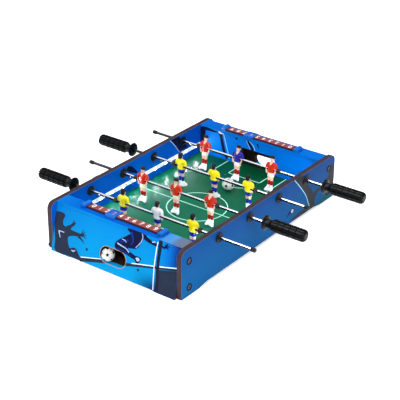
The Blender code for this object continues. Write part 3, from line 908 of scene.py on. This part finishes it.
def screw(name, x, z, side):
    """A cup washer with a sunk screw head and its cross recess."""
    cup = [(-0.2, 7.2), (0.3, 7.3), (0.9, 6.9), (1.1, 6.2), (0.9, 5.4), (0.2, 4.6), (-0.2, 4.4)]
    head = [(-0.2, 0), (-0.2, 4.0), (0.2, 3.9), (0.6, 3.2), (0.8, 1.8), (0.85, 0)]
    bm = turned(mm_points(cup), closed=True)
    turned(mm_points(head), material_index=1, bm=bm)
    made = link_mesh(name, bm, "cup_black", "screw_steel", smooth=40)
    for turn in (0.4, 0.4 + math.pi / 2):
        across = Vector((math.cos(turn), 0, math.sin(turn)))
        aside = Vector((-math.sin(turn), 0, math.cos(turn)))

        def place(u, v, w):
            return across * u + aside * v + Vector((0, w, 0))

        recess = rectangle(-2.4 * MM, -0.5 * MM, 2.4 * MM, 0.5 * MM)
        cut(made, prism(recess, place, 0.3 * MM, 2 * MM), "bushing_black")
    set_down(made, (x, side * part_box("side_panel_rear")[1].y, z), side)
    piece(made, "root", "bushing_1_front")


def set_down(made, place, side):
    """Mirrors a piece to its side of the table, moves it there and puts both into its mesh."""
    made.scale.y = side
    made.location = place
    bpy.context.view_layer.update()
    made.data.transform(made.matrix_world)
    made.matrix_world = Matrix.Identity(4)
    if side < 0:
        made.data.flip_normals()


def make_screws():
    for place, side in SIDES.items():
        for end_name, end in ENDS.items():
            for level, height in SCREW_HEIGHTS.items():
                screw(f"screw_{place}_{end_name}_{level}", end * SCREW_X, height, side)


def light_strip(name, side):
    """A light strip: the board, and every few centimetres a diode in a white case."""
    node = f"led_strip_{name}"
    low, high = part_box(node)
    back = max(abs(low.y), abs(high.y))
    middle = (low.z + high.z) / 2
    count, half, half_chip = 12, 2.5 * MM, 0.6 * MM
    pitch = (high.x - low.x) / count

    def place(u, v, w):
        return (u, side * (back - w), v)

    # The board's glow is painted light; only the diodes are lamps.
    board = prism(rectangle(low.x, low.z, high.x, high.z), place, 0, 0.8 * MM)
    piece(bevelled(link_mesh(node + "_board", board, "strip_board_painted_glow"), 0.2 * MM), "root", node, replace=True)
    cases, lenses, chips = bmesh.new(), bmesh.new(), bmesh.new()
    for index in range(count):
        x = low.x + pitch * (index + 0.5)
        prism(rectangle(x - half, middle - half, x + half, middle + half), place, 0.7 * MM, 2 * MM, cases)
        prism(circle((x, middle), 1.9 * MM), place, 1.9 * MM, 2.25 * MM, lenses)
        prism(circle((x, middle), 1.2 * MM), place, 2.2 * MM, 2.5 * MM, lenses)
        for left in (x - 0.3 * pitch, x + 0.3 * pitch):
            chip = rectangle(left - MM, middle - half_chip, left + MM, middle + half_chip)
            prism(chip, place, 0.7 * MM, 1.3 * MM, chips)
    piece(bevelled(link_mesh(node + "_cases", cases, "diode_case"), 0.3 * MM), "root", node)
    piece(link_mesh(node + "_diodes", lenses, "diode_glow"), "root", node)
    piece(link_mesh(node + "_chips", chips, "bushing_black"), "root", node)


def bushing(number, name, side):
    """The flanged sleeve: a dished outer flange with a collar, and a flat inner flange."""
    node = f"bushing_{number}_{name}"
    low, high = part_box(node)
    panel_low, panel_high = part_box("side_panel_rear")
    flange, edge, sleeve, inner = 10 * MM, 9.7 * MM, 6.5 * MM, 2.2 * MM
    start = inner + panel_high.y - panel_low.y + 0.6 * MM
    out = high.y - low.y - start
    profile = [
        (0, BORE), (0, 9.2 * MM), (0.5 * MM, flange), (inner - 0.2 * MM, flange), (inner, edge),
        (inner, sleeve), (start, sleeve), (start, edge), (start + 0.3 * MM, flange),
        (start + out * 0.55, flange),
        (start + out * 0.8, 9.4 * MM), (start + out * 0.8, 8.2 * MM), (start + out * 0.45, 7.4 * MM),
        (start + out * 0.45, 5.8 * MM), (start + out * 0.9, 5.4 * MM), (start + out, 5 * MM),
        (start + out, 3.8 * MM), (start + out * 0.9, BORE),
    ]
    made = link_mesh(node + "_moulding", turned(profile, closed=True), "bushing_black", smooth=35)
    at = ROD_AT[number]
    set_down(made, (at.x, side * min(abs(low.y), abs(high.y)), at.z), side)
    piece(made, "root", node, replace=True)


# ---- rods ------------------------------------------------------------------------------------


def place_on_rod(made, number, direction=1):
    """Moves a piece made about the origin to its rod's rest place, pointing along Y as asked."""
    turn = Matrix.Rotation(0 if direction > 0 else math.pi, 4, "Z")
    made.matrix_world = Matrix.Translation(ROD_AT[number]) @ turn


def reach_of(node, number):
    """How far from its rod's rest place a node starts and ends, and its radius."""
    low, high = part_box(node)
    middle = ROD_AT[number].y
    return *sorted((abs(low.y - middle), abs(high.y - middle))), (high.z - low.z) / 2


def rod_bar(number):
    """The rod, with a darker painted shade where it comes out behind the rear panel."""
    node = f"rod_{number}"
    low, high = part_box(node)
    middle = ROD_AT[number].y
    radius, chamfer = (high.z - low.z) / 2, 0.6 * MM
    start, end, rear = low.y - middle, high.y - middle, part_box("side_panel_rear")[1].y - middle
    profile = [(start, 0), (start, radius - chamfer), (start + chamfer, radius), (rear, radius)]
    profile += [(end - chamfer, radius), (end, radius - chamfer), (end, 0)]
    bm = turned(profile)
    # Painted shade: faces beyond the rear panel take the darker chrome.
    for face in bm.faces:
        face.material_index = 1 if face.calc_center_median().y > rear else 0
    made = link_mesh(node + "_bar", bm, "chrome", "chrome_painted_shade", smooth=30)
    place_on_rod(made, number)
    piece(made, node, node, replace=True)


def grip(number):
    """The handle: disc, tapered neck, and a round-ended grip of raised blocks."""
    node = f"handle_{number}"
    start, end, _ = reach_of(node, number)
    grip_radius, rounding, groove, bore_depth = 12 * MM, 6 * MM, 2.2 * MM, 43 * MM
    ribs, rows = 14, 5
    neck = [
        (0, 12.6), (0.6, 14), (1.6, 14.5), (2.8, 14.2), (3.8, 13), (4.3, 9.8), (5.5, 8.6), (10, 8.2),
        (14, 8.6), (16.4, 9.6), (17.4, 10.8),
    ]
    rings = [(end - bore_depth, 0, 0), (end - bore_depth, BORE, 0), (start, BORE, 0)]
    rings += [(start + along, radius, 0) for along, radius in mm_points(neck)]
    first, last = start + 18 * MM, end - rounding
    pitch, bottom, shoulder = (last - first) / rows, grip_radius - groove, grip_radius - 0.2 * MM
    for row in range(rows):
        left = first + row * pitch
        right = left + pitch
        rings += [(left, bottom, 0), (left + 1.6 * MM, bottom, 0), (left + 2 * MM, shoulder, 1)]
        rings += [(left + 2.3 * MM, grip_radius, 1), (right - 0.4 * MM, grip_radius, 1)]
        rings.append((right - 0.1 * MM, shoulder, 1))
    for along, radius in arc((last, grip_radius - rounding), rounding, 90, 0, 7):
        rings.append((along, radius - 0.2 * MM, 1 if radius > 0.6 * grip_radius else 0))
    rings.append((end, 0, 0))
    bm = bmesh.new()
    loops = [[bm.verts.new((x, along, z)) for x, z in ribbed_ring(ribs, radius, ribbed * groove)]
             for along, radius, ribbed in rings]
    for one, two in zip(loops, loops[1:]):
        bridge(bm, one, two)
    made = link_mesh(node + "_grip", bm, "grip_black", smooth=32)
    place_on_rod(made, number, HANDLE_SIDE[number])
    piece(made, f"rod_{number}", node, replace=True)


def ribbed_ring(ribs, radius, groove):
    """The points round a grip, sunk by the groove between its ribs."""
    if radius == 0:
        return [(0, 0)]
    points = []
    for rib in range(ribs):
        for share, sunk in ((0, 1), (0.26, 1), (0.34, 0), (0.52, 0), (0.84, 0), (0.92, 1)):
            angle = 2 * math.pi * (rib + share) / ribs
            reach = radius - sunk * groove
            points.append((reach * math.cos(angle), reach * math.sin(angle)))
    return points


def rod_cap(number):
    """The rubber end cap: a lip, a waist and a domed end."""
    node = f"end_cap_{number}"
    start, end, radius = reach_of(node, number)
    rounding, bore_end = 1.7 * MM, end - 2.7 * MM
    profile = [(bore_end, 0), (bore_end, BORE), (start, BORE), (start, radius - 0.4 * MM)]
    profile += [(start + 0.4 * MM, radius), (start + 1.6 * MM, radius), (start + 1.9 * MM, radius - 0.3 * MM)]
    profile += [(start + 2.5 * MM, radius - 0.3 * MM), (start + 2.8 * MM, radius - 0.1 * MM)]
    profile += arc((end - rounding, radius - 0.1 * MM - rounding), rounding, 90, 0, 6)
    profile.append((end, 0))
    made = link_mesh(node + "_cap", turned(profile), "cap_rubber", smooth=35)
    place_on_rod(made, number, -HANDLE_SIDE[number])
    piece(made, f"rod_{number}", node, replace=True)


def bumper(number, name):
    """A rubber ring with rounded rims and a slight waist."""
    node = f"bumper_{number}_{name}"
    low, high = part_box(node)
    start, end = low.y - ROD_AT[number].y, high.y - ROD_AT[number].y
    radius, edge, waist, third = (high.z - low.z) / 2, 1 * MM, 0.4 * MM, (end - start) / 3
    profile = [(start, BORE)] + arc((start + edge, radius - edge), edge, 180, 90, 4)
    profile += [(start + third, radius - waist), (end - third, radius - waist)]
    profile += arc((end - edge, radius - edge), edge, 90, 0, 4) + [(end, BORE)]
    made = link_mesh(node + "_ring", turned(profile, closed=True), "rubber_grey", smooth=50)
    place_on_rod(made, number)
    piece(made, f"row_{number}", node, replace=True)


# ---- players ---------------------------------------------------------------------------------

KITS = {
    "player_red": ("cloth_red", "shorts_white", "sock_red"),
    "player_yellow": ("cloth_yellow", "shorts_blue", "sock_blue"),
    "player_blue": ("cloth_blue", "shorts_white", "sock_red"),
    "player_white": ("cloth_white", "shorts_blue", "sock_blue"),
}
FIGURE_PARTS = ("shirt", "shorts", "sock", "skin", "hair", "shoe", "lips")


def loft(bm, sections, part, turn=0.0, sides=20, steps=3, power=2.4):
    """A smooth body through rounded sections of (x, y, z, half depth, half width) in millimetres."""
    rows = [Vector(section) for section in sections]
    padded = [2 * rows[0] - rows[1]] + rows + [2 * rows[-1] - rows[-2]]
    smooth = []
    for index in range(len(rows) - 1):
        for step in range(steps):
            smooth.append(spline_point(*padded[index : index + 4], step / steps))
    smooth.append(rows[-1])
    index = FIGURE_PARTS.index(part)
    loops = []
    for x, y, z, depth, width in smooth:
        loop = []
        for c, s in turns(0, 360 - 360 / sides, sides - 1):
            scale = 1 / (abs(c) ** power + abs(s) ** power) ** (1 / power)
            u, v = max(depth, 0.05) * c * scale, max(width, 0.05) * s * scale
            px = x + u * math.cos(turn) - v * math.sin(turn)
            py = y + u * math.sin(turn) + v * math.cos(turn)
            loop.append(bm.verts.new((px * MM, py * MM, z * MM)))
        loops.append(loop)
    for one, two in zip(loops, loops[1:]):
        bridge(bm, one, two, index)
    for loop in (loops[0], loops[-1]):
        bm.faces.new(loop).material_index = index


def pair(bm, sections, part, turn=0.0, **settings):
    """The same body on both sides of the figure."""
    for side in (-1, 1):
        mirrored = [(x, side * y, z, depth, width) for x, y, z, depth, width in sections]
        loft(bm, mirrored, part, side * turn, **settings)


def figure_mesh():
    """One player about the rod's axis, facing +X: a simple moulded figure with toes turned out."""
    bm = bmesh.new()
    loft(bm, [(0, 0, -6.8, 4.4, 6.6), (0, 0, -6.2, 5.3, 7.4), (0, 0, -2, 5.1, 7.0), (0, 0, 3, 5.5, 7.6),
        (0, 0, 8, 5.7, 8.6), (0, 0, 12, 5.0, 8.4), (0, 0, 14.2, 3.9, 6.2), (0, 0, 15.4, 2.6, 3.8)], "shirt")
    loft(bm, [(0, 0, -15.4, 4.4, 6.6), (0, 0, -14.8, 4.9, 7.3), (0, 0, -11, 5.0, 7.3), (0, 0, -7, 4.6, 6.8),
        (0, 0, -5, 4.0, 6.0)], "shorts")
    loft(bm, [(0.4, 0, -45.7, 3.6, 3.4), (0.4, 0, -42, 3.4, 3.2), (0, 0, -39.5, 2.6, 2.4)], "shoe", sides=14)
    loft(bm, [(3.6, 0, 8.4, 1.0, 0.5), (3.2, 0, 10.6, 2.4, 2.0), (2.4, 0, 13.2, 2.5, 3.4),
        (1.2, 0, 15.0, 2.4, 3.6), (0.6, 0, 16.0, 2.4, 2.6), (0.4, 0, 18.4, 2.4, 2.4)], "skin", sides=16)
    loft(bm, [(1.4, 0, 16.4, 1.6, 1.5), (1.2, 0, 17.4, 3.0, 2.7), (0.6, 0, 19.5, 4.0, 3.7),
        (0.2, 0, 22.5, 4.3, 4.1), (0, 0, 25.8, 4.1, 4.0), (-0.2, 0, 27.8, 3.0, 3.0),
        (-0.2, 0, 28.4, 1.2, 1.2)], "skin", power=2.1)
    loft(bm, [(4.0, 0, 19.7, 0.4, 0.5), (4.6, 0, 20.2, 0.7, 0.65), (4.5, 0, 21.2, 0.5, 0.45),
        (4.2, 0, 22, 0.3, 0.3)], "skin", sides=8)
    loft(bm, [(4.0, 0, 18.2, 0.3, 0.9), (4.2, 0, 18.5, 0.3, 1.0), (4.1, 0, 18.8, 0.3, 0.9)], "lips", sides=8)
    loft(bm, [(-2.6, 0, 17.4, 1.2, 2.6), (-2.2, 0, 18.8, 2.4, 4.0), (-1.7, 0, 21.2, 3.3, 4.7),
        (-0.6, 0, 23.4, 4.5, 4.9), (0.1, 0, 24.6, 5.0, 4.9), (0, 0, 27.0, 4.5, 4.5),
        (-0.2, 0, 28.7, 3.1, 3.2), (-0.3, 0, 29.3, 1.4, 1.4)], "hair", power=2.1)
    pair(bm, [(0, 7.2, 14.0, 1.4, 1.2), (0, 8.2, 12.8, 3.0, 2.4), (0.1, 9.6, 9.4, 3.5, 2.9),
        (0.2, 10.4, 5.6, 3.4, 2.7), (0.3, 10.7, 3.2, 3.3, 2.5), (0.3, 10.7, 2.7, 2.6, 1.9)],
        "shirt", sides=16)
    pair(bm, [(0.4, 10.8, 4, 2.1, 1.7), (1.0, 11.0, 0, 2.1, 1.7), (1.8, 10.2, -4.0, 1.9, 1.5),
        (2.2, 9.2, -6.4, 2.3, 1.7), (2.4, 8.6, -8.6, 2.0, 1.4), (2.4, 8.4, -9.6, 1.0, 0.7)],
        "skin", sides=12)
    pair(bm, [(0.1, 3.2, -25, 2.9, 2.7), (0.2, 3.2, -21, 3.0, 2.9), (0.1, 3.3, -17, 3.5, 3.1),
        (0, 3.4, -13, 3.8, 3.3)], "skin", sides=14)
    pair(bm, [(-0.5, 3.2, -36, 2.4, 2.3), (-0.5, 3.2, -33, 2.6, 2.4), (-0.4, 3.2, -28.5, 3.2, 2.7),
        (-0.1, 3.2, -24.6, 3.3, 2.9), (0, 3.2, -23.4, 3.2, 2.9), (0, 3.2, -23, 2.7, 2.5)], "sock", sides=14)
    pair(bm, [(1.7, 4.9, -45.7, 5.4, 2.4), (1.7, 4.9, -45, 6.0, 2.9), (1.6, 4.8, -42.6, 6.0, 2.9),
        (1.0, 4.4, -40.2, 4.9, 2.8), (0, 3.7, -37.6, 3.6, 2.7), (-0.4, 3.3, -34.8, 3.0, 2.8),
        (-0.4, 3.3, -33.8, 3.0, 2.8), (-0.4, 3.3, -33.4, 2.5, 2.3)], "shoe", turn=0.64, sides=18)
    pair(bm, [(-0.2, 4.0, 19.6, 0.7, 0.5), (-0.2, 4.4, 20.8, 1.0, 0.7), (-0.2, 4.5, 22.4, 0.9, 0.6),
        (-0.2, 4.2, 23.2, 0.4, 0.3)], "skin", sides=10)
    pair(bm, [(4.1, 1.5, 21.4, 0.3, 0.4), (4.25, 1.5, 21.9, 0.4, 0.5), (4.2, 1.5, 22.4, 0.3, 0.4)],
        "hair", sides=8)
    return bm


FIGURES = {}  # the mesh of each kit


def player(number, place):
    node = f"player_{number}_{place}"
    kit = SLOT_OF[node]
    if kit not in FIGURES:
        finishes = KITS[kit] + ("skin", "hair", "shoe_white", "lips")
        first = link_mesh(f"figure_{kit}", figure_mesh(), *finishes, smooth=55)
        FIGURES[kit] = first.data
        bpy.data.objects.remove(first)
    made = bpy.data.objects.new(node + "_figure", FIGURES[kit])
    bpy.context.scene.collection.objects.link(made)
    low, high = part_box(node)
    at = Vector((ROD_AT[number].x, (low.y + high.y) / 2, ROD_AT[number].z))
    lean = Matrix.Rotation(math.radians(REST_LEAN[number]), 4, "Y")
    facing = Matrix.Rotation(0 if FACING[number] > 0 else math.pi, 4, "Z")
    made.matrix_world = Matrix.Translation(at) @ lean @ facing
    piece(made, f"rod_{number}", node, replace=True)


# ---- score counters --------------------------------------------------------------------------


DIGIT_SIZE = 15 * MM  # of the font; a numeral stands about two thirds of it
STRIP = (211 * MM, 227 * MM)  # the strip's edges across the table's ends
STRIP_TOP = 99.7 * MM


def numeral(bm, text, centre, end):
    """A raised numeral added to the bmesh, centred on a point of the strip and read from outside."""
    curve = bpy.data.curves.new("numeral", "FONT")
    curve.body = text
    curve.size = DIGIT_SIZE
    curve.align_x = "CENTER"
    curve.align_y = "CENTER"
    curve.extrude = 0.1 * MM
    holder = bpy.data.objects.new("numeral", curve)
    bpy.context.scene.collection.objects.link(holder)
    graph = bpy.context.evaluated_depsgraph_get()
    mesh = bpy.data.meshes.new_from_object(holder.evaluated_get(graph))
    turn = Matrix(((0, end, 0), (-end, 0, 0), (0, 0, 1))).transposed().to_4x4()
    mesh.transform(Matrix.Translation((*centre, STRIP_TOP - 0.1 * MM)) @ turn)
    bm.from_mesh(mesh)
    bpy.data.objects.remove(holder)
    bpy.data.meshes.remove(mesh)


def score_counter(name, end):
    """The numbered strip: ten raised cells with numerals, between two rounded stops."""
    node = f"score_rail_{name}"
    low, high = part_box(node)
    rail_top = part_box(f"top_rail_{name}")[1].z
    pitch, count, inset = 16 * MM, 10, 0.5 * MM
    half_cell, reach = pitch / 2 - 0.3 * MM, high.y - MM

    def place(u, v, w):
        return (end * u, v, w)

    # The base's dark finish stands for painted shade along the strip's lower edge.
    outline = rectangle(STRIP[0], -reach, STRIP[1], reach)
    base = prism(outline, place, rail_top + 0.1 * MM, STRIP_TOP - 0.6 * MM)
    piece(bevelled(link_mesh(node + "_strip", base, "counter_base"), 0.4 * MM), "root", node, replace=True)
    cells, digits = bmesh.new(), bmesh.new()
    for index in range(count):
        y = end * (index + 0.5 - count / 2) * pitch
        outline = rectangle(STRIP[0] + inset, y - half_cell, STRIP[1] - inset, y + half_cell)
        prism(outline, place, STRIP_TOP - 0.8 * MM, STRIP_TOP - 0.1 * MM, cells)
        numeral(digits, str(index), (end * (STRIP[0] + STRIP[1]) / 2, y), end)
    piece(bevelled(link_mesh(node + "_cells", cells, "counter_cell"), 0.25 * MM), "root", node)
    piece(link_mesh(node + "_numerals", digits, "digit_white"), "root", node)
    bm = bmesh.new()
    stop_low, stop_x = pitch * count / 2 + 4 * MM, (209 * MM, 230 * MM)
    radius, flatness = (high.y - stop_low) / 2, 0.8
    flank = high.z - radius * flatness
    for side in (-1, 1):
        centre = side * (stop_low + high.y) / 2
        outline = [(centre - radius, rail_top + 0.1 * MM), (centre + radius, rail_top + 0.1 * MM)]
        outline += [(centre + radius * c, flank + radius * flatness * s) for c, s in turns(0, 180, 12)]
        prism(outline, lambda u, v, w: (end * w, u, v), *stop_x, bm=bm)
    piece(bevelled(link_mesh(node + "_stops", bm, "counter_blue"), 0.8 * MM, 3), "root", node)


def score_slider(name, end):
    """The sliding frame over the strip, with a tinted window for the number under it."""
    node = f"score_slider_{name}"
    low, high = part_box(node)
    near, far = sorted((abs(low.x), abs(high.x)))
    clear, foot, chamfer = 0.5 * MM, MM, 2.2 * MM
    crown = STRIP_TOP + 1.9 * MM
    shoulder, edge = crown - 1.3 * MM, STRIP_TOP + clear
    section = [
        (near, low.z), (near + foot, shoulder), (near + foot + chamfer, crown), (far - foot - chamfer, crown),
        (far - foot, shoulder), (far, low.z), (STRIP[1] + clear, low.z), (STRIP[1] + clear, edge),
        (STRIP[0] - clear, edge), (STRIP[0] - clear, low.z),
    ]
    saddle = prism(section, lambda u, v, w: (end * u, w, v), low.y, high.y)
    made = link_mesh(f"{node}_saddle", saddle, "counter_blue")

    def place(u, v, w):
        return (end * u, (low.y + high.y) / 2 + v, w)

    def window(inset):
        half = 8 * MM - inset
        return rectangle(STRIP[0] + MM + inset, -half, STRIP[1] - MM - inset, half)

    cut(made, prism(window(0), place, STRIP_TOP, high.z + MM))
    piece(bevelled(made, 0.5 * MM, 3), node, node, replace=True)
    pane = prism(window(0.1 * MM), place, crown - 1.1 * MM, crown - 0.6 * MM)
    piece(link_mesh(f"{node}_pane", pane, "counter_pane"), node, node)


# ---- balls -----------------------------------------------------------------------------------


def football(node, towards, spin):
    """A ball of black pentagons and white hexagons, with one pentagon towards the direction given."""
    low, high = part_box(node)
    radius = (high.x - low.x) / 2
    white, black, seam = range(3)
    bm = bmesh.new()
    bmesh.ops.create_icosphere(bm, subdivisions=1, radius=radius)
    edge = max(line.calc_length() for line in bm.edges)
    cut_back = {"offset": edge * 0.24, "offset_type": "OFFSET", "segments": 1, "affect": "VERTICES"}
    bmesh.ops.bevel(bm, geom=bm.verts[:], **cut_back)
    for face in bm.faces:
        face.material_index = black if len(face.verts) == 5 else white
    patches = bm.faces[:]
    bmesh.ops.inset_individual(bm, faces=patches, thickness=0.25 * MM)
    for face in set(bm.faces) - set(patches):
        face.material_index = seam
    bmesh.ops.poke(bm, faces=patches)
    bmesh.ops.triangulate(bm, faces=bm.faces[:])
    bmesh.ops.subdivide_edges(bm, edges=bm.edges[:], cuts=4, use_grid_fill=True)
    for vertex in bm.verts:
        in_seam = all(face.material_index == seam for face in vertex.link_faces)
        vertex.co = vertex.co.normalized() * (radius - (0.2 * MM if in_seam else 0))
    made = link_mesh(node + "_shell", bm, "ball_white", "ball_black", "ball_seam", smooth=60)
    turn = Vector(towards).to_track_quat("Z", "Y").to_matrix().to_4x4() @ Matrix.Rotation(spin, 4, "Z")
    made.matrix_world = Matrix.Translation((low + high) / 2) @ turn
    piece(made, node, node, replace=True)


# ---- underside -------------------------------------------------------------------------------


def battery_cover():
    """The battery box with a ribbed sliding lid, and the switch knob."""
    for name in ("battery_box", "light_switch"):
        item = frame["nodes"][name]
        item.data.materials.clear()
        item.data.materials.append(MATERIALS["battery_black"])
        ease(item, 0.4 * MM)
    low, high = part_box("battery_box")
    margin, rib_margin, pitch = 3 * MM, 8 * MM, 2.4 * MM
    left, right, front, rear = low.x + margin, high.x - 18 * MM, low.y + margin, high.y - margin

    def place(u, v, w):
        return (u, v, low.z - w)

    bm = prism(rectangle(left, front, right, rear), place, -0.2 * MM, 0.8 * MM)
    for index in range(6):
        x = left + 4 * MM + index * pitch
        prism(rectangle(x, front + rib_margin, x + MM, rear - rib_margin), place, 0.7 * MM, 1.3 * MM, bm)
    piece(bevelled(link_mesh("battery_lid", bm, "battery_black"), 0.25 * MM), "root", "battery_box")


# ---- build -----------------------------------------------------------------------------------

make_camera()
make_studio()
make_materials()
dress_cabinet()
dress_floors()
for name, end in ENDS.items():
    print_end(name, end)
    print_wall(name, end)
    score_counter(name, end)
    score_slider(name, end)
for name, side in SIDES.items():
    print_side(name, side, False)
    print_side(name, side, True)
    light_strip(name, side)
field_lines()
make_screws()
for number in ROD_AT:
    rod_bar(number)
    grip(number)
    rod_cap(number)
    for name, side in SIDES.items():
        bumper(number, name)
        bushing(number, name, side)
    for place in PLACES:
        player(number, place)
football("ball_field", (-0.3, -0.35, 0.9), 0.3)
football("ball_slot", (-0.74, -0.5, 0.44), 0.4)
battery_cover()
